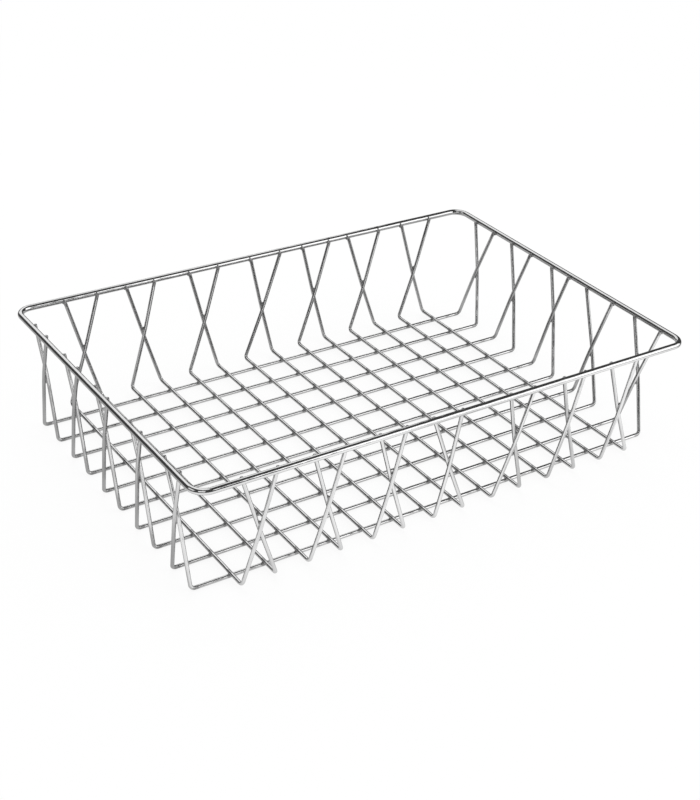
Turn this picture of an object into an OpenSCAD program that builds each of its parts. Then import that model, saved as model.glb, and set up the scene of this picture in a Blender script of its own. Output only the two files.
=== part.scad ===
// Open wire tray basket: a heavy rim wire and two layers of thin wires welded into a floor grid.
// Every thin wire is bent up at both ends. Its legs lean sideways, so neighbours cross as an X.
// Millimetres, +Z up. X runs along the basket, and the front wall faces -Y.
// The origin is on the surface it stands on, under the middle of the basket.

/* [Rim] */
// Length over the outside of the rim
rim_length = 457; // [445:1:480]
// Width over the outside of the rim
rim_width = 310; // [304:1:330]
// Height from the surface it stands on to the top of the rim
basket_height = 102; // [80:1:150]
// Diameter of the rim wire
rim_wire_d = 5; // [4:0.5:8]
// Bend radius of the rim's corners, to the middle of the wire
rim_corner_r = 12; // [8:1:16]

/* [Thin wires] */
// Diameter of the floor and wall wires
wire_d = 3; // [2:0.1:3.5]
// Spacing of the wires in the floor, both ways
pitch = 28.5; // [24:0.5:29]
// Number of pairs of wires that run across the basket
cross_pairs = 7; // [5:1:7]
// Number of pairs of wires that run along the basket
long_pairs = 5; // [3:1:5]
// Bend radius where a wire turns up out of the floor, to the middle of the wire
foot_bend_r = 3.5; // [2.5:0.5:6]
// Bend radius where a leg bows past the leg that it crosses, to the middle of the wire
bow_bend_r = 60; // [30:5:100]
// How far a wire's end stands above the middle of the rim wire
end_reach = 0.5; // [0:0.1:2]
// How deep two wires are sunk into each other at a weld
weld_set = 0.3; // [0.1:0.05:0.5]

/* [Walls] */
// How far the long walls lean outward, from foot to rim
long_wall_flare = 3.4; // [0:0.2:8]
// How far the short walls lean outward, from foot to rim
short_wall_flare = 4.8; // [0:0.2:12]
// Sideways lean of each leg in the front wall, from foot to rim
front_lean = 27.5; // [22:0.5:32]
// Sideways lean of each leg in the back wall, from foot to rim
back_lean = 29.5; // [22:0.5:32]
// Sideways lean of each leg in the left wall, from foot to rim
left_lean = 24.5; // [22:0.5:32]
// Sideways lean of each leg in the right wall, from foot to rim
right_lean = 28.5; // [22:0.5:32]
// Drift of each leg's end along the front rim, from left to right
front_drift = [-2, -5, -2, -3, -6, -4, -12, -13, 1, 3, -5, -1, -6, -9]; // [-15:1:15]
// Drift of each leg's end along the back rim, from left to right
back_drift = [0, 1, -4, 0, 1, 3, 7, 7, 2, 4, 0, -4, 1, -1]; // [-15:1:15]
// Drift of each leg's end along the left rim, from front to back
left_drift = [5, 2, 1, 4, 2, 1, 0, -4, -1, -3]; // [-15:1:15]
// Drift of each leg's end along the right rim, from front to back
right_drift = [3, 0, 7, 2, -3, 2, -3, -2, -6, -5]; // [-15:1:15]

/* [Hidden] */
$fn = 48;
cross_count = 2 * cross_pairs;
long_count = 2 * long_pairs;

// Middle of the rim wire
rim_x = (rim_length - rim_wire_d) / 2;
rim_y = (rim_width - rim_wire_d) / 2;
rim_z = basket_height - rim_wire_d / 2;

// Floor layers: the long wires lie on the ground, and the cross wires are sunk into their tops
layer_step = wire_d - weld_set;
long_z = wire_d / 2;
cross_z = long_z + layer_step;

// Middle of a thin wire at its weld to the inside of the rim, and at its foot
rim_step = (rim_wire_d + wire_d) / 2 - weld_set;
end_x = rim_x - rim_step;
end_y = rim_y - rim_step;
end_z = rim_z + end_reach;
foot_x = end_x - short_wall_flare;
foot_y = end_y - long_wall_flare;

// Where two legs cross, each runs straight for this far, this much off the middle of the wall
cross_run = 4 * wire_d;
bow = layer_step / 2;

// A bend is a hair thinner than straight wire and laps this far into it at both ends, so that
// their surfaces cut each other cleanly instead of only touching
bend_wire_d = wire_d - 0.02;
bend_lap = 0.1;

// Length of the stretch of a neighbouring wire that a seat is cut with
seat_length = 8 * wire_d;

function wire_name(kind, k) = str(kind, k < 9 ? "_0" : "_", k + 1);
function cross_name(i) = wire_name("cross_wire", i);
function long_name(j) = wire_name("long_wire", j);

// Place of wire k of n across the floor, from the middle
function floor_place(k, n) = (k - (n - 1) / 2) * pitch;

// Wires 0 and 1, 2 and 3 and so on are pairs, whose legs cross
function is_even(k) = k % 2 == 0;
function partner(k) = is_even(k) ? k + 1 : k - 1;
function partner_place(k) = is_even(k) ? pitch : -pitch;

// A wall, as the wires that end in it see it: distance of their feet and of their ends from the
// middle of the basket, rise from the floor to their ends, the lean and drifts of their legs, and
// whether it is the even wires whose legs pass outside their partners
FOOT = 0;
END = 1;
RISE = 2;
LEAN = 3;
DRIFTS = 4;
EVEN_OUTSIDE = 5;
front_wall = [foot_y, end_y, end_z - cross_z, front_lean, front_drift, true];
back_wall = [foot_y, end_y, end_z - cross_z, back_lean, back_drift, false];
left_wall = [foot_x, end_x, end_z - long_z, left_lean, left_drift, false];
right_wall = [foot_x, end_x, end_z - long_z, right_lean, right_drift, true];
function outside(wall, k) = wall[EVEN_OUTSIDE] == is_even(k);

// How far sideways the end of wire k stands from its foot: even and odd legs lean opposite ways
function end_shift(wall, k) = (is_even(k) ? wall[LEAN] : -wall[LEAN]) + wall[DRIFTS][k];

// How far up its leg wire k crosses its partner, as a share of the leg
function meet_share(wall, k) = pitch / abs(end_shift(wall, k) - end_shift(wall, partner(k)));

// Corner points of half a wire in its own plane, from the middle of the floor to the end. The leg
// crosses its partner's leg on a straight stretch that lies off the line from foot to end.
function half_points(wall, k) =
    let (
        foot = [wall[FOOT], 0],
        leg = [wall[END] - wall[FOOT], norm([wall[RISE], end_shift(wall, k)])],
        along = leg / norm(leg),
        out = [along[1], -along[0]],
        meet = foot + leg * meet_share(wall, k) + out * (outside(wall, k) ? bow : -bow)
    )
    [[0, 0], foot, meet - along * cross_run / 2, meet + along * cross_run / 2, foot + leg];

// Stretches of a path through corner points, and the bends between them
function heading(points, n) = let (run = points[n + 1] - points[n]) atan2(run[1], run[0]);
function turn(points, n) = heading(points, n) - heading(points, n - 1);
function bend_r(n) = n == 1 ? foot_bend_r : bow_bend_r;
function is_end(points, n) = n == 0 || n == len(points) - 1;
function cut(points, n) = is_end(points, n) ? 0 : bend_r(n) * tan(abs(turn(points, n)) / 2);
function run(points, n) = norm(points[n + 1] - points[n]) - cut(points, n) - cut(points, n + 1);

// Frame at the far end of a bend that turns from +Z toward -X, or toward +X if it is negative
module past_bend(angle, r) {
    side = angle < 0 ? 180 : 0;
    rotate([0, 0, side])
        translate([-r, 0, 0])
            rotate([0, -abs(angle), 0])
                translate([r, 0, 0])
                    rotate([0, 0, -side]) children();
}

// Bent wire that starts along +Z
module bend(angle, r) {
    lap_angle = bend_lap / r * 180 / PI;
    rotate([0, 0, angle < 0 ? 180 : 0])
        translate([-r, 0, 0])
            rotate([90, 0, 0])
                rotate([0, 0, -lap_angle])
                    rotate_extrude(angle = abs(angle) + 2 * lap_angle)
                        translate([r, 0]) circle(d = bend_wire_d);
}

// Frame at the start of stretch n, with +Z along it. The path lies in the XZ plane.
module at_stretch(points, n) {
    if (n == 0) rotate([0, 90, 0]) children();
    else at_bend(points, n) past_bend(turn(points, n), bend_r(n)) children();
}

// Frame at the start of the bend at corner n
module at_bend(points, n) {
    at_stretch(points, n - 1) translate([0, 0, run(points, n - 1)]) children();
}

module stretch(points, n) {
    at_stretch(points, n) cylinder(d = wire_d, h = run(points, n));
}

// Leans the plane of wire k's leg sideways, about the line of the wire in the floor
module leaned(wall, k) {
    rotate([-atan2(end_shift(wall, k), wall[RISE]), 0, 0]) children();
}

// The straight stretch on which wire k's leg crosses its partner's
module crossing_stretch(wall, k) {
    leaned(wall, k) stretch(half_points(wall, k), 2);
}

// Seat of the end of wire k against the rim
module rim_seat(wall, k) {
    translate([wall[END] + rim_step, end_shift(wall, k), wall[RISE] - end_reach])
        rotate([90, 0, 0]) cylinder(d = rim_wire_d, h = seat_length, center = true);
}

// Leg of wire k in the wall that lies toward +X, with its foot bend. The leg that runs inside has
// a seat for its partner, and both have one for the rim.
module leg(wall, k) {
    points = half_points(wall, k);
    leaned(wall, k) {
        stretch(points, 1);
        for (n = [1 : 3]) at_bend(points, n) bend(turn(points, n), bend_r(n));
    }
    difference() {
        crossing_stretch(wall, k);
        if (!outside(wall, k))
            translate([0, partner_place(k), 0]) crossing_stretch(wall, partner(k));
    }
    difference() {
        leaned(wall, k) stretch(points, 3);
        rim_seat(wall, k);
    }
}

// Seats over the long wires, in the underside of a cross wire that lies along X
module floor_seats() {
    for (j = [0 : long_count - 1])
        translate([floor_place(j, long_count), 0, -layer_step])
            rotate([90, 0, 0]) cylinder(d = wire_d, h = seat_length, center = true);
}

// Wire k along X, with a leg in the wall toward +X and one in the wall toward -X
module wire(plus_wall, minus_wall, k, on_top) {
    plus_run = run(half_points(plus_wall, k), 0);
    minus_run = run(half_points(minus_wall, k), 0);
    difference() {
        translate([-minus_run, 0, 0])
            rotate([0, 90, 0]) cylinder(d = wire_d, h = minus_run + plus_run);
        if (on_top) floor_seats();
    }
    leg(plus_wall, k);
    mirror([1, 0, 0]) leg(minus_wall, k);
}

module rim_wire() {
    side_x = rim_x - rim_corner_r;
    side_y = rim_y - rim_corner_r;
    color("gainsboro") translate([0, 0, rim_z]) for (half = [0, 180]) rotate([0, 0, half]) {
        translate([0, rim_y, 0])
            rotate([0, 90, 0]) cylinder(d = rim_wire_d, h = 2 * side_x, center = true);
        translate([rim_x, 0, 0])
            rotate([90, 0, 0]) cylinder(d = rim_wire_d, h = 2 * side_y, center = true);
        for (side = [0, 1]) mirror([side, 0, 0]) translate([side_x, side_y, 0])
            rotate_extrude(angle = 90) translate([rim_corner_r, 0]) circle(d = rim_wire_d);
    }
}

// Cross wire i lies on the long wires
module cross_wire(i) {
    color("silver") translate([floor_place(i, cross_count), 0, cross_z])
        rotate([0, 0, -90]) wire(front_wall, back_wall, i, true);
}

// Long wire j lies on the ground
module long_wire(j) {
    color("silver") translate([0, floor_place(j, long_count), long_z])
        wire(right_wall, left_wall, j, false);
}

rim_wire();
for (i = [0 : cross_count - 1]) {
    cross_wire(i);
}
for (j = [0 : long_count - 1]) {
    long_wire(j);
}
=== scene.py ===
import math
import random

import bmesh
import bpy
from bpy.props import FloatProperty, FloatVectorProperty, PointerProperty
from mathutils import Matrix, Vector


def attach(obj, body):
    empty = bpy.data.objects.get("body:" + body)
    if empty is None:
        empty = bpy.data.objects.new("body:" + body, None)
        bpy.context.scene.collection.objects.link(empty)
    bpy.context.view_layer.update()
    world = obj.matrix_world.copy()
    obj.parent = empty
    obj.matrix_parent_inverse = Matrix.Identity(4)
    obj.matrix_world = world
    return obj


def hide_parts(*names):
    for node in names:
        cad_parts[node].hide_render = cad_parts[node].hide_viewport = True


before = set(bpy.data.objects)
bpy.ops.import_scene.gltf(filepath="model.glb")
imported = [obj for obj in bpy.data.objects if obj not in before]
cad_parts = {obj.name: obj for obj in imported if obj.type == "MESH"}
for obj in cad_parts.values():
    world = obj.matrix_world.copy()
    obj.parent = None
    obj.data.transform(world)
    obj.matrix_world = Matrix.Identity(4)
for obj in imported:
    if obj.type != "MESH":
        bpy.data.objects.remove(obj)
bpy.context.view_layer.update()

bl_info = {
    "name": "Wire tray basket",
    "version": (1, 0, 0),
    "blender": (4, 5, 0),
    "location": "3D View > Sidebar > Basket",
    "description": "Plated wire tray basket with legs that cross in its walls",
    "category": "Object",
}

MM = 0.001


# Sizes, finish and stage that a user may change

class WireBasketSizes(bpy.types.PropertyGroup):
    """Sizes of the wires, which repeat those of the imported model, and of the weld beads"""

    rim_length: FloatProperty(
        name="Rim length", description="Length over the outside of the rim",
        default=0.457, unit="LENGTH", subtype="DISTANCE")
    rim_width: FloatProperty(
        name="Rim width", description="Width over the outside of the rim",
        default=0.310, unit="LENGTH", subtype="DISTANCE")
    height: FloatProperty(
        name="Height", description="Height from the floor to the top of the rim",
        default=0.102, unit="LENGTH", subtype="DISTANCE")
    rim_wire_d: FloatProperty(
        name="Rim wire", description="Diameter of the rim wire",
        default=0.005, unit="LENGTH", subtype="DISTANCE")
    rim_corner_r: FloatProperty(
        name="Rim corner", description="Bend radius of the rim's corners, to the middle of the wire",
        default=0.012, unit="LENGTH", subtype="DISTANCE")
    wire_d: FloatProperty(
        name="Thin wire", description="Diameter of the floor and wall wires",
        default=0.003, unit="LENGTH", subtype="DISTANCE")
    pitch: FloatProperty(
        name="Pitch", description="Spacing of the wires in the floor",
        default=0.0285, unit="LENGTH", subtype="DISTANCE")
    foot_bend_r: FloatProperty(
        name="Foot bend", description="Bend radius where a wire turns up out of the floor",
        default=0.0035, unit="LENGTH", subtype="DISTANCE")
    bow_bend_r: FloatProperty(
        name="Bow bend", description="Bend radius where a leg bows past the leg that it crosses",
        default=0.060, unit="LENGTH", subtype="DISTANCE")
    end_reach: FloatProperty(
        name="End reach", description="How far a wire's end stands above the middle of the rim wire",
        default=0.0005, unit="LENGTH", subtype="DISTANCE")
    weld_set: FloatProperty(
        name="Weld set", description="How deep two wires are sunk into each other at a weld",
        default=0.0003, unit="LENGTH", subtype="DISTANCE")
    long_wall_flare: FloatProperty(
        name="Long wall flare", description="How far the long walls lean outward",
        default=0.0034, unit="LENGTH", subtype="DISTANCE")
    short_wall_flare: FloatProperty(
        name="Short wall flare", description="How far the short walls lean outward",
        default=0.0048, unit="LENGTH", subtype="DISTANCE")
    end_chamfer: FloatProperty(
        name="End chamfer", description="Width of the dressed edge at a thin wire's cut ends",
        default=0.0007, unit="LENGTH", subtype="DISTANCE")
    bead_spread: FloatProperty(
        name="Bead spread", description="How far a weld bead spreads from the middle of the weld",
        default=0.0018, unit="LENGTH", subtype="DISTANCE")
    bead_depth: FloatProperty(
        name="Bead depth", description="Half the thickness of a weld bead, between the two wires",
        default=0.0007, unit="LENGTH", subtype="DISTANCE")
    # The long reach spreads the bead's dark colour along the legs as painted shade at the wall crossing.
    bead_reach: FloatProperty(
        name="Bead reach", description="How far a wall weld's bead runs up and down its two legs",
        default=0.0063, unit="LENGTH", subtype="DISTANCE")


class WireBasketFinish(bpy.types.PropertyGroup):
    """Colours and gloss of the plating"""

    plate_color: FloatVectorProperty(
        name="Plating", description="Colour of the bright plating",
        default=(0.87, 0.87, 0.87), size=3, min=0.0, max=1.0, subtype="COLOR")
    cloud_color: FloatVectorProperty(
        name="Cloud", description="Colour of the plating where it has clouded",
        default=(0.77, 0.77, 0.77), size=3, min=0.0, max=1.0, subtype="COLOR")
    # Also the colour of the painted shade where thin wires cross and meet the rim.
    weld_and_shade_color: FloatVectorProperty(
        name="Weld", description="Colour of the plating over a weld",
        default=(0.42, 0.42, 0.42), size=3, min=0.0, max=1.0, subtype="COLOR")
    roughness: FloatProperty(
        name="Roughness", description="Roughness of the bright plating",
        default=0.10, min=0.0, max=1.0, subtype="FACTOR")
    weld_roughness: FloatProperty(
        name="Weld roughness", description="Roughness of the plating over a weld",
        default=0.38, min=0.0, max=1.0, subtype="FACTOR")
    ripple: FloatProperty(
        name="Ripple", description="Strength of the slow ripples in the drawn wire",
        default=0.16, min=0.0, max=1.0, subtype="FACTOR")


class WireBasketStage(bpy.types.PropertyGroup):
    """Camera, lamps and ground"""

    camera_place: FloatVectorProperty(
        name="Camera place", description="Where the camera stands",
        default=(-0.6198, -0.8810, 0.6620), size=3, unit="LENGTH", subtype="XYZ")
    camera_azimuth: FloatProperty(
        name="Camera azimuth", description="Turn of the view from the front toward the right",
        default=math.radians(-35.236), unit="ROTATION", subtype="ANGLE")
    camera_elevation: FloatProperty(
        name="Camera elevation", description="How steeply the view looks down",
        default=math.radians(30.378), unit="ROTATION", subtype="ANGLE")
    camera_roll: FloatProperty(
        name="Camera roll", description="Tilt of the picture",
        default=math.radians(3.331), unit="ROTATION", subtype="ANGLE")
    focal_length: FloatProperty(
        name="Focal length", description="Focal length of the lens, in millimetres",
        default=67.04, min=1.0)
    ambient: FloatProperty(
        name="Ambient", description="Strength of the room's light on dull surfaces",
        default=0.72, min=0.0)
    room: FloatProperty(
        name="Room", description="Brightness of the room beyond the table, as the plating shows it",
        default=0.05, min=0.0)
    table: FloatProperty(
        name="Table", description="Brightness of the table top, as the plating shows it",
        default=0.40, min=0.0)
    pool: FloatProperty(
        name="Pool", description="Brightness of the lit part of the table, as the plating shows it",
        default=0.97, min=0.0)
    shade: FloatProperty(
        name="Shade", description="Brightness of the table under the basket, as the plating shows it",
        default=0.04, min=0.0)
    front_lamp: FloatProperty(
        name="Front lamp", description="Brightness of the front lamp's face",
        default=1.34, min=0.0)
    back_lamp: FloatProperty(
        name="Back lamp", description="Brightness of the back lamp's face",
        default=0.84, min=0.0)


# Walls as the wires that end in them see them: the lean of the legs, the drift of each leg's end
# along the wall, and whether it is the even wires whose legs pass outside their partners.

CROSS_COUNT = 14
LONG_COUNT = 10
WALLS = {
    "front": {
        "lean": 27.5 * MM, "even_outside": True,
        "drift": [-2, -5, -2, -3, -6, -4, -12, -13, 1, 3, -5, -1, -6, -9]},
    "back": {
        "lean": 29.5 * MM, "even_outside": False,
        "drift": [0, 1, -4, 0, 1, 3, 7, 7, 2, 4, 0, -4, 1, -1]},
    "left": {
        "lean": 24.5 * MM, "even_outside": False,
        "drift": [5, 2, 1, 4, 2, 1, 0, -4, -1, -3]},
    "right": {
        "lean": 28.5 * MM, "even_outside": True,
        "drift": [3, 0, 7, 2, -3, 2, -3, -2, -6, -5]},
}


def derived(sizes):
    """Places that follow from the sizes."""
    rim_step = (sizes.rim_wire_d + sizes.wire_d) / 2 - sizes.weld_set
    rim_x = (sizes.rim_length - sizes.rim_wire_d) / 2
    rim_y = (sizes.rim_width - sizes.rim_wire_d) / 2
    rim_z = sizes.height - sizes.rim_wire_d / 2
    layer_step = sizes.wire_d - sizes.weld_set
    long_z = sizes.wire_d / 2
    return {
        "rim_x": rim_x, "rim_y": rim_y, "rim_z": rim_z,
        "end_x": rim_x - rim_step, "end_y": rim_y - rim_step, "end_z": rim_z + sizes.end_reach,
        "layer_step": layer_step, "long_z": long_z, "cross_z": long_z + layer_step,
    }


def floor_place(k, count, pitch):
    """Place of wire k across the floor, from the middle."""
    return (k - (count - 1) / 2) * pitch


def end_shift(wall, k):
    """How far sideways the end of wire k stands from its foot."""
    return (wall["lean"] if k % 2 == 0 else -wall["lean"]) + wall["drift"][k] * MM


def leg_line(sizes, wall_name, k):
    """Foot, end and crossing of one leg's middle line, in a frame whose +X points at the wall."""
    at = derived(sizes)
    wall = WALLS[wall_name]
    long_wall = wall_name in ("front", "back")
    end = at["end_y"] if long_wall else at["end_x"]
    flare = sizes.long_wall_flare if long_wall else sizes.short_wall_flare
    rise = at["end_z"] - (at["cross_z"] if long_wall else at["long_z"])
    partner = k + 1 if k % 2 == 0 else k - 1
    share = sizes.pitch / abs(end_shift(wall, k) - end_shift(wall, partner))
    foot, tip = Vector((end - flare, 0, 0)), Vector((end, end_shift(wall, k), rise))
    return foot, tip, foot + (tip - foot) * share


def leg_corners(sizes, wall_name, k):
    """Corner points of one leg, which bows past its partner, from its foot to its end."""
    foot, tip, meet = leg_line(sizes, wall_name, k)
    along = (tip - foot).normalized()
    outward = (Vector((1, 0, 0)) - along * along.x).normalized()
    bow = derived(sizes)["layer_step"] / 2
    if WALLS[wall_name]["even_outside"] != (k % 2 == 0):
        bow = -bow
    half_run = along * 2 * sizes.wire_d
    middle = meet + outward * bow
    return [foot, middle - half_run, middle + half_run, tip]


def cross_frame(sizes, i):
    """Frame of cross wire i, whose +X points at the front wall."""
    x = floor_place(i, CROSS_COUNT, sizes.pitch)
    return (Matrix.Translation((x, 0, derived(sizes)["cross_z"]))
            @ Matrix.Rotation(-math.pi / 2, 4, "Z"))


def long_frame(sizes, j):
    """Frame of long wire j, whose +X points at the right wall."""
    return Matrix.Translation((0, floor_place(j, LONG_COUNT, sizes.pitch), derived(sizes)["long_z"]))


MIRROR = Matrix.Diagonal((-1, 1, 1, 1))


def all_legs(sizes):
    """Every leg as its wall, its wire's number and the frame that it is drawn in."""
    for i in range(CROSS_COUNT):
        yield "front", i, cross_frame(sizes, i)
        yield "back", i, cross_frame(sizes, i) @ MIRROR
    for j in range(LONG_COUNT):
        yield "right", j, long_frame(sizes, j)
        yield "left", j, long_frame(sizes, j) @ MIRROR


# Shader nodes

class Level:
    """What one socket gives out. Sums and products of levels add Math nodes."""

    def __init__(self, maker, socket):
        self.maker, self.socket = maker, socket

    def maths(self, operation, first, second=0.0):
        return self.maker.add("ShaderNodeMath", {"operation": operation}, {0: first, 1: second})

    def __add__(self, other):
        return self.maths("ADD", self, other)

    def __radd__(self, other):
        return self.maths("ADD", other, self)

    def __sub__(self, other):
        return self.maths("SUBTRACT", self, other)

    def __rsub__(self, other):
        return self.maths("SUBTRACT", other, self)

    def __mul__(self, other):
        return self.maths("MULTIPLY", self, other)

    def __rmul__(self, other):
        return self.maths("MULTIPLY", other, self)

    def __truediv__(self, other):
        return self.maths("DIVIDE", self, other)

    def size(self):
        return self.maths("ABSOLUTE", self)

    def part(self):
        return self.maths("FRACT", self)

    def or_more(self, other):
        return self.maths("MAXIMUM", self, other)


class NodeMaker:
    """Adds nodes to one tree: a node's settings first, then its sockets' values or links."""

    def __init__(self, owner):
        owner.use_nodes = True
        self.tree = owner.node_tree
        self.tree.nodes.clear()

    def add(self, kind, settings, sockets, out=0):
        node = self.tree.nodes.new(kind)
        for name, value in settings.items():
            setattr(node, name, value)
        for key, value in sockets.items():
            if isinstance(value, Level):
                self.tree.links.new(value.socket, node.inputs[key])
            else:
                node.inputs[key].default_value = value
        return Level(self, node.outputs[out]) if node.outputs else None

    def place(self):
        return self.add("ShaderNodeTexCoord", {}, {}, "Object")

    def axis(self, vector, name):
        return self.add("ShaderNodeSeparateXYZ", {}, {"Vector": vector}, name)

    def cloud(self, vector, scale, detail):
        return self.add("ShaderNodeTexNoise", {}, {
            "Vector": vector, "Scale": scale, "Detail": detail}, "Fac")

    def step(self, value, low, high):
        """0 where the value is at low, 1 where it is at high, and smooth between."""
        return self.add("ShaderNodeMapRange", {"interpolation_type": "SMOOTHSTEP"}, {
            "Value": value, "From Min": low, "From Max": high})

    def blend(self, share, first, second):
        """Mixes two colours."""
        return self.add("ShaderNodeMix", {"data_type": "RGBA"}, {
            0: share, 6: first, 7: second}, 2)

    def mixed(self, share, first, second):
        """Mixes two shaders."""
        return self.add("ShaderNodeMixShader", {}, {0: share, 1: first, 2: second})

    def span(self, place, point):
        """Distance of a place from a point."""
        return self.add("ShaderNodeVectorMath", {"operation": "DISTANCE"}, {
            0: place, 1: point}, "Value")

    def bump(self, height, strength, distance):
        return self.add("ShaderNodeBump", {}, {
            "Strength": strength, "Distance": distance, "Height": height})


def opaque(color):
    return (*color, 1.0)


def plated(name, finish, marks):
    """Bright plating over drawn wire. marks gives how much a point is darkened toward the weld colour: by
    welds and handling, and on the thin wires partly by painted shade where wires cross and meet the rim.
    """
    material = bpy.data.materials.new(name)
    maker = NodeMaker(material)
    place = maker.place()
    clouding = maker.step(maker.cloud(place, 35, 3), 0.48, 0.72)
    ripple = maker.cloud(place, 70, 1)
    grain = maker.cloud(place, 2600, 2)
    # weld carries the weld and handling marks and, on the thin wires, painted shade as well.
    weld = marks(maker, place)
    color = maker.blend(clouding, opaque(finish.plate_color), opaque(finish.cloud_color))
    color = maker.blend(weld, color, opaque(finish.weld_and_shade_color))
    gloss = finish.roughness * (0.7 + 0.6 * grain + 0.8 * clouding)
    roughness = gloss + weld * (finish.weld_roughness - finish.roughness)
    relief = maker.bump(ripple + grain * 0.008 + weld * 0.12, finish.ripple, 2.5 * MM)
    shader = maker.add("ShaderNodeBsdfPrincipled", {}, {
        "Base Color": color, "Metallic": 1.0, "Roughness": roughness, "Normal": relief})
    maker.add("ShaderNodeOutputMaterial", {}, {"Surface": shader})
    return material


def rim_marks(maker, place):
    """The rim is marked all over by faint handling."""
    return maker.step(maker.cloud(place, 260, 3), 0.66, 0.86) * 0.4


def weld_and_shade_marks(along, sizes):
    """Darkening of a thin wire at each crossing in the floor and near its ends against the rim: partly
    weld marks, partly painted shade where the wires touch.
    """
    def marks(maker, place):
        from_crossing = ((maker.axis(place, along) / sizes.pitch).part() - 0.5).size() * sizes.pitch
        height = maker.axis(place, "Z")
        in_floor = maker.step(height, 9 * MM, 6 * MM)
        # Partly a weld mark, partly painted shade where the wires cross.
        crossing = maker.step(from_crossing, 3.6 * MM, 1.6 * MM) * in_floor
        # Partly a weld mark, partly painted shade where the leg meets the rim.
        at_rim = maker.step(height, sizes.height - 7.5 * MM, sizes.height - 4.5 * MM)
        return crossing.or_more(at_rim) * 0.78
    return marks


def bead_marks(maker, place):
    """A bead is marked all over, in patches."""
    return 0.55 + 0.45 * maker.cloud(place, 900, 2)


# Mesh building

def new_piece(name, mesh_maker, material, replaced=()):
    """Makes a piece from a bmesh, shaded smooth, that rides on the basket."""
    mesh = bpy.data.meshes.new(name)
    made = bmesh.new()
    mesh_maker(made)
    bmesh.ops.recalc_face_normals(made, faces=made.faces)
    for face in made.faces:
        face.smooth = True
    made.to_mesh(mesh)
    made.free()
    mesh.materials.append(material)
    piece = bpy.data.objects.new(name, mesh)
    bpy.context.scene.collection.objects.link(piece)
    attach(piece, "root")
    if replaced:
        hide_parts(*replaced)
    return piece


def of_kind(geometry, kind):
    return [item for item in geometry if isinstance(item, kind)]


def start_ring(made, corner, heading, wire_d, around, capped):
    """The circle of edges that a wire is drawn out from."""
    facing = heading.to_track_quat("Z", "Y").to_matrix().to_4x4()
    ring = bmesh.ops.create_circle(
        made, cap_ends=capped, segments=around, radius=wire_d / 2,
        matrix=Matrix.Translation(corner) @ facing)
    return list({edge for vert in ring["verts"] for edge in vert.link_edges})


def draw_straight(made, edges, way):
    """Draws the wire out by one straight stretch, and returns its new end's edges."""
    grown = bmesh.ops.extrude_edge_only(made, edges=edges)["geom"]
    bmesh.ops.translate(made, verts=of_kind(grown, bmesh.types.BMVert), vec=way)
    return of_kind(grown, bmesh.types.BMEdge)


def draw_bend(made, edges, centre, axis, angle, steps):
    """Draws the wire out round one bend, and returns its new end's edges."""
    spun = bmesh.ops.spin(
        made, geom=edges, cent=centre, axis=axis, angle=angle, steps=steps, use_merge=False)
    return of_kind(spun["geom_last"], bmesh.types.BMEdge)


def sweep_wire(made, corners, radii, wire_d, around, bend_steps, chamfer):
    """A round wire through corner points, with a bend at each inner one and dressed ends. The ring
    close to each end keeps the shading of the dressed edge off the straight run."""
    heading = (corners[1] - corners[0]).normalized()
    edges = start_ring(made, corners[0], heading, wire_d, around, True)
    first_end = list(edges)
    end_run = 2.5 * chamfer
    edges = draw_straight(made, edges, heading * end_run)
    at = corners[0] + heading * end_run
    for n in range(1, len(corners) - 1):
        next_heading = (corners[n + 1] - corners[n]).normalized()
        angle = heading.angle(next_heading)
        cut = radii[n] * math.tan(angle / 2)
        stop = corners[n] - heading * cut
        edges = draw_straight(made, edges, stop - at)
        axis = heading.cross(next_heading).normalized()
        centre = stop + axis.cross(heading) * radii[n]
        steps = max(2, round(bend_steps * angle / (math.pi / 2)))
        edges = draw_bend(made, edges, centre, axis, angle, steps)
        at, heading = corners[n] + next_heading * cut, next_heading
    edges = draw_straight(made, edges, corners[-1] - at - heading * end_run)
    edges = draw_straight(made, edges, heading * end_run)
    bmesh.ops.contextual_create(made, geom=edges)
    bmesh.ops.bevel(
        made, geom=first_end + edges, offset=chamfer, segments=2, profile=0.5, affect="EDGES",
        material=-1)


def add_bead(made, where, radii):
    """A flattened bead of weld metal, centred on a frame."""
    bmesh.ops.create_uvsphere(
        made, u_segments=8, v_segments=6, radius=1.0, matrix=where @ Matrix.Diagonal((*radii, 1)))


class BASKET_OT_rim(bpy.types.Operator):
    """Bends the thick rim wire into a closed ring"""

    bl_idname = "basket.rim"
    bl_label = "Make Rim"

    def execute(self, context):
        sizes = context.scene.wire_basket_sizes
        at = derived(sizes)
        side_x = at["rim_x"] - sizes.rim_corner_r
        side_y = at["rim_y"] - sizes.rim_corner_r
        up = Vector((0, 0, 1))

        def rim_ring(made):
            here = Vector((0, -at["rim_y"], at["rim_z"]))
            edges = start_ring(made, here, Vector((1, 0, 0)), sizes.rim_wire_d, 40, False)
            run, heading = side_x, Vector((1, 0, 0))
            for next_run in (2 * side_y, 2 * side_x, 2 * side_y, side_x):
                edges = draw_straight(made, edges, heading * run)
                here = here + heading * run
                inward = up.cross(heading)
                centre = here + inward * sizes.rim_corner_r
                edges = draw_bend(made, edges, centre, up, math.pi / 2, 18)
                here, heading, run = centre + heading * sizes.rim_corner_r, inward, next_run
            draw_straight(made, edges, heading * run)
            bmesh.ops.remove_doubles(made, verts=made.verts, dist=0.01 * MM)

        material = plated("rim plating", context.scene.wire_basket_finish, rim_marks)
        new_piece("rim_ring", rim_ring, material, ("rim_wire",))
        return {"FINISHED"}


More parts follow.
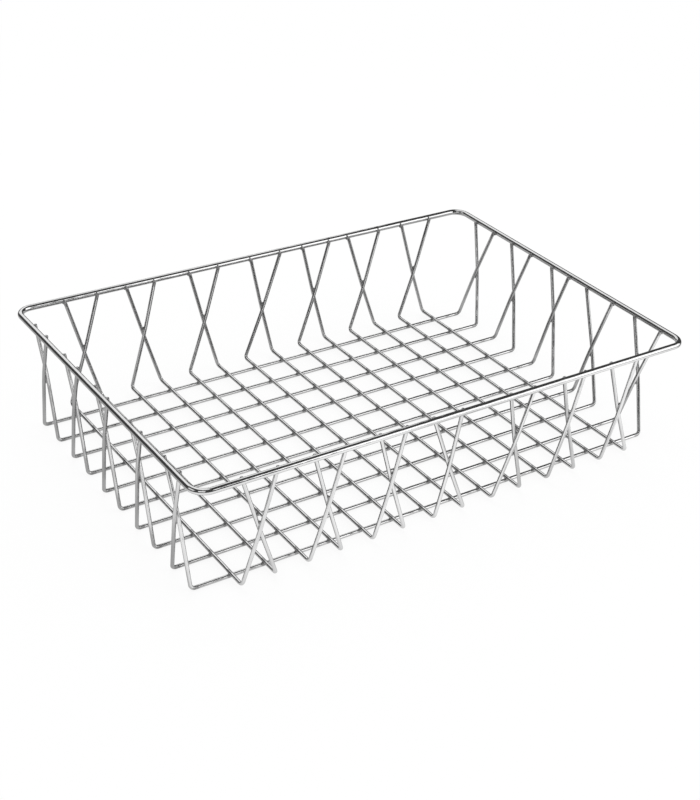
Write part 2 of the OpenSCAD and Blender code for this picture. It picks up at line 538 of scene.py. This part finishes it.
def bent_wire(name, sizes, k, plus_wall, minus_wall, place, material):
    """A thin wire in the floor with a leg at each end, in a frame whose +X points at a wall."""
    plus = leg_corners(sizes, plus_wall, k)
    minus = [MIRROR @ corner for corner in leg_corners(sizes, minus_wall, k)]
    corners = [place @ corner for corner in [*reversed(minus), *plus]]
    foot, bow = sizes.foot_bend_r, sizes.bow_bend_r
    radii = [0, bow, bow, foot, foot, bow, bow, 0]

    def wire(made):
        sweep_wire(made, corners, radii, sizes.wire_d, 18, 12, sizes.end_chamfer)

    return new_piece("bent_" + name, wire, material, (name,))


class BASKET_OT_cross_wires(bpy.types.Operator):
    """Bends the wires that run across the basket"""

    bl_idname = "basket.cross_wires"
    bl_label = "Make Cross Wires"

    def execute(self, context):
        sizes = context.scene.wire_basket_sizes
        material = plated(
            "cross wire plating", context.scene.wire_basket_finish, weld_and_shade_marks("Y", sizes))
        for i in range(CROSS_COUNT):
            bent_wire(f"cross_wire_{i + 1:02d}", sizes, i, "front", "back",
                      cross_frame(sizes, i), material)
        return {"FINISHED"}


class BASKET_OT_long_wires(bpy.types.Operator):
    """Bends the wires that run along the basket"""

    bl_idname = "basket.long_wires"
    bl_label = "Make Long Wires"

    def execute(self, context):
        sizes = context.scene.wire_basket_sizes
        material = plated(
            "long wire plating", context.scene.wire_basket_finish, weld_and_shade_marks("X", sizes))
        for j in range(LONG_COUNT):
            bent_wire(f"long_wire_{j + 1:02d}", sizes, j, "right", "left",
                      long_frame(sizes, j), material)
        return {"FINISHED"}


class BASKET_OT_welds(bpy.types.Operator):
    """Adds the beads of weld metal where wires cross and where legs meet the rim"""

    bl_idname = "basket.welds"
    bl_label = "Make Welds"

    def execute(self, context):
        sizes = context.scene.wire_basket_sizes
        material = plated("weld plating", context.scene.wire_basket_finish, bead_marks)
        luck = random.Random(5)
        spread, depth = sizes.bead_spread, sizes.bead_depth

        def uneven(*radii):
            return [radius * luck.uniform(0.88, 1.12) for radius in radii]

        def floor_beads(made):
            height = sizes.wire_d - sizes.weld_set / 2
            for i in range(CROSS_COUNT):
                for j in range(LONG_COUNT):
                    x = floor_place(i, CROSS_COUNT, sizes.pitch)
                    y = floor_place(j, LONG_COUNT, sizes.pitch)
                    where = Matrix.Translation((x, y, height))
                    add_bead(made, where, uneven(spread, spread, depth))

        # Each wall weld's dark bead is stretched up and down its two legs: partly a weld bead, partly
        # painted shade in the notch at the crossing.
        def wall_beads_and_shade(made):
            for wall, k, place in all_legs(sizes):
                if k % 2 == 0:
                    meet = leg_line(sizes, wall, k)[2]
                    where = place @ Matrix.Translation(meet)
                    add_bead(made, where, uneven(depth, spread * 0.8, sizes.bead_reach))

        def rim_beads(made):
            side = (sizes.wire_d - sizes.weld_set) / 2
            for wall, k, place in all_legs(sizes):
                tip = leg_line(sizes, wall, k)[1] + Vector((side, 0, 0))
                below = Vector((0, 0, -sizes.end_reach - spread / 2))
                where = place @ Matrix.Translation(tip + below)
                add_bead(made, where, uneven(depth, spread, spread))
                if wall == "back":
                    where = place @ Matrix.Translation(tip + Vector((0, 0, 0.4 * MM)))
                    add_bead(made, where, uneven(depth, depth, spread * 0.85))

        new_piece("floor_welds", floor_beads, material)
        new_piece("wall_welds_and_shade", wall_beads_and_shade, material)
        new_piece("rim_welds", rim_beads, material)
        return {"FINISHED"}


# Stage

def pale_ground(stage):
    """Ground that is white to the camera. The plating shows it as a pale table top in a dim room,
    with a painted pool of light in front of the basket and painted shade under and beside it."""
    material = bpy.data.materials.new("pale ground")
    maker = NodeMaker(material)
    rays_camera = maker.add("ShaderNodeLightPath", {}, {}, "Is Camera Ray")
    rays_glossy = maker.add("ShaderNodeLightPath", {}, {}, "Is Glossy Ray")
    place = maker.place()
    x, y = maker.axis(place, "X"), maker.axis(place, "Y")
    on_table = maker.step(maker.span(place, (0, 0, 0)), 0.94, 0.70)
    # Painted pool of light on the table in front of the basket.
    in_pool = maker.step(maker.span(place, (-0.05, -0.565, 0)), 0.63, 0.47)
    # Painted shade: the painted pool is kept off the table under, behind and right of the basket.
    beside = maker.step(x, -0.293, -0.233) * maker.step(y, -0.18, -0.10)
    # Painted shadow of the basket on the table beneath it.
    under = maker.step(x.size(), 0.24, 0.14) * maker.step(y, -0.168, -0.078) * maker.step(y, 0.148, 0.088)
    # Painted shade on the table in front of the basket's right half.
    near_dim = maker.step(maker.span(place, (0.093, -0.211, 0)), 0.115, 0.035)
    # Painted light: for rays shorter than a few centimetres the painted shadow under the basket is
    # lifted, lighting the undersides of wires close to the table.
    ray_length = maker.add("ShaderNodeLightPath", {}, {}, "Ray Length")
    close = maker.step(ray_length, 35 * MM, 12 * MM)
    table = stage.room + on_table * (stage.table - stage.room)
    lit = table + in_pool * (1 - beside) * (stage.pool - stage.table)
    # Painted shade on the table in front of the basket's left end.
    side_dim = maker.step(maker.span(place, (-0.24, -0.25, 0)), 0.20, 0.08)
    lit = lit * (1 - near_dim * 0.34) * (1 - side_dim * 0.14)
    shaded = stage.shade + close * (0.5 - stage.shade)
    brightness = lit * (1 - under) + under * shaded
    dull = maker.add("ShaderNodeBsdfDiffuse", {}, {"Color": (0.98, 0.98, 0.98, 1)})
    black = maker.add("ShaderNodeEmission", {}, {"Strength": 0.0})
    white = maker.add("ShaderNodeEmission", {}, {"Strength": 1.0})
    from_middle = maker.span(place, (0, 0, 0))
    seen = maker.mixed(rays_camera * (0.85 + 0.15 * maker.step(from_middle, 0.5, 1.2)), dull, white)
    shown = maker.mixed(brightness, black, white)
    ground = maker.mixed(rays_glossy, seen, shown)
    maker.add("ShaderNodeOutputMaterial", {}, {"Surface": ground})
    return material


def studio(stage):
    """A white surround to the camera, a soft ambient light, and a dim room to the plating."""
    world = bpy.data.worlds.new("studio")
    maker = NodeMaker(world)
    rays_camera = maker.add("ShaderNodeLightPath", {}, {}, "Is Camera Ray")
    rays_glossy = maker.add("ShaderNodeLightPath", {}, {}, "Is Glossy Ray")
    pale = (1, 1, 1, 1)
    ambient = maker.add("ShaderNodeBackground", {}, {"Color": pale, "Strength": stage.ambient})
    room = maker.add("ShaderNodeBackground", {}, {"Color": pale, "Strength": stage.room})
    white = maker.add("ShaderNodeBackground", {}, {"Color": pale, "Strength": 1.0})
    around = maker.mixed(rays_camera, maker.mixed(rays_glossy, ambient, room), white)
    maker.add("ShaderNodeOutputWorld", {}, {"Surface": around})
    return world


def soft_lamp(name, azimuth, elevation, distance, width, height, level):
    """A soft lamp that faces the basket, whose face is as bright as the level."""
    azimuth, elevation = math.radians(azimuth), math.radians(elevation)
    way = Vector((
        math.cos(azimuth) * math.cos(elevation), math.sin(azimuth) * math.cos(elevation),
        math.sin(elevation)))
    data = bpy.data.lights.new(name, "AREA")
    data.shape = "RECTANGLE"
    data.size, data.size_y = width, height
    data.energy = level * math.pi * width * height
    lamp = bpy.data.objects.new(name, data)
    lamp.location = way * distance
    lamp.rotation_euler = (-way).to_track_quat("-Z", "Y").to_euler()
    lamp.visible_camera = False
    bpy.context.scene.collection.objects.link(lamp)


def photo_camera(stage):
    """The camera that sees the basket as the photograph does."""
    azimuth, elevation, roll = stage.camera_azimuth, stage.camera_elevation, stage.camera_roll
    back = Vector((
        math.sin(azimuth) * math.cos(elevation), -math.cos(azimuth) * math.cos(elevation),
        math.sin(elevation)))
    right = Vector((0, 0, 1)).cross(back).normalized()
    level = Matrix((right, back.cross(right), back)).transposed()
    data = bpy.data.cameras.new("photo camera")
    data.lens = stage.focal_length
    camera = bpy.data.objects.new("photo camera", data)
    camera.matrix_world = (
        Matrix.Translation(stage.camera_place)
        @ (level @ Matrix.Rotation(roll, 3, "Z")).to_4x4())
    bpy.context.scene.collection.objects.link(camera)
    return camera


class BASKET_OT_stage(bpy.types.Operator):
    """Sets the pale ground, the lamps and the camera"""

    bl_idname = "basket.stage"
    bl_label = "Set Stage"

    def execute(self, context):
        stage = context.scene.wire_basket_stage
        mesh = bpy.data.meshes.new("ground")
        made = bmesh.new()
        bmesh.ops.create_grid(made, x_segments=1, y_segments=1, size=6)
        made.to_mesh(mesh)
        made.free()
        mesh.materials.append(pale_ground(stage))
        ground = bpy.data.objects.new("ground", mesh)
        context.scene.collection.objects.link(ground)

        context.scene.world = studio(stage)
        soft_lamp("front lamp", -38, 22, 3.0, 3.1, 2.3, stage.front_lamp)
        soft_lamp("back lamp", 79, 38, 3.0, 2.6, 2.4, stage.back_lamp)
        soft_lamp("side lamp", -130, 30, 3.0, 1.5, 1.3, 1.0)
        soft_lamp("left lamp", 175, 28, 3.0, 1.6, 1.5, 0.7)
        soft_lamp("top lamp", 90, 80, 3.0, 1.3, 2.2, 0.8)
        context.scene.camera = photo_camera(stage)
        context.scene.view_settings.view_transform = "Standard"
        return {"FINISHED"}


class BASKET_PT_panel(bpy.types.Panel):
    """Lists the steps that make the basket"""

    bl_idname = "BASKET_PT_panel"
    bl_label = "Wire Basket"
    bl_space_type = "VIEW_3D"
    bl_region_type = "UI"
    bl_category = "Basket"

    def draw(self, context):
        for step in STEPS:
            self.layout.operator(step.bl_idname)


STEPS = (
    BASKET_OT_rim, BASKET_OT_cross_wires, BASKET_OT_long_wires, BASKET_OT_welds, BASKET_OT_stage)
GROUPS = {
    "wire_basket_sizes": WireBasketSizes,
    "wire_basket_finish": WireBasketFinish,
    "wire_basket_stage": WireBasketStage,
}
CLASSES = (*GROUPS.values(), *STEPS, BASKET_PT_panel)


def register():
    for cls in CLASSES:
        bpy.utils.register_class(cls)
    for name, group in GROUPS.items():
        setattr(bpy.types.Scene, name, PointerProperty(type=group))


def unregister():
    for name in GROUPS:
        delattr(bpy.types.Scene, name)
    for cls in reversed(CLASSES):
        bpy.utils.unregister_class(cls)


def main():
    register()
    bpy.ops.basket.rim()
    bpy.ops.basket.cross_wires()
    bpy.ops.basket.long_wires()
    bpy.ops.basket.welds()
    bpy.ops.basket.stage()


if __name__ == "__main__":
    main()
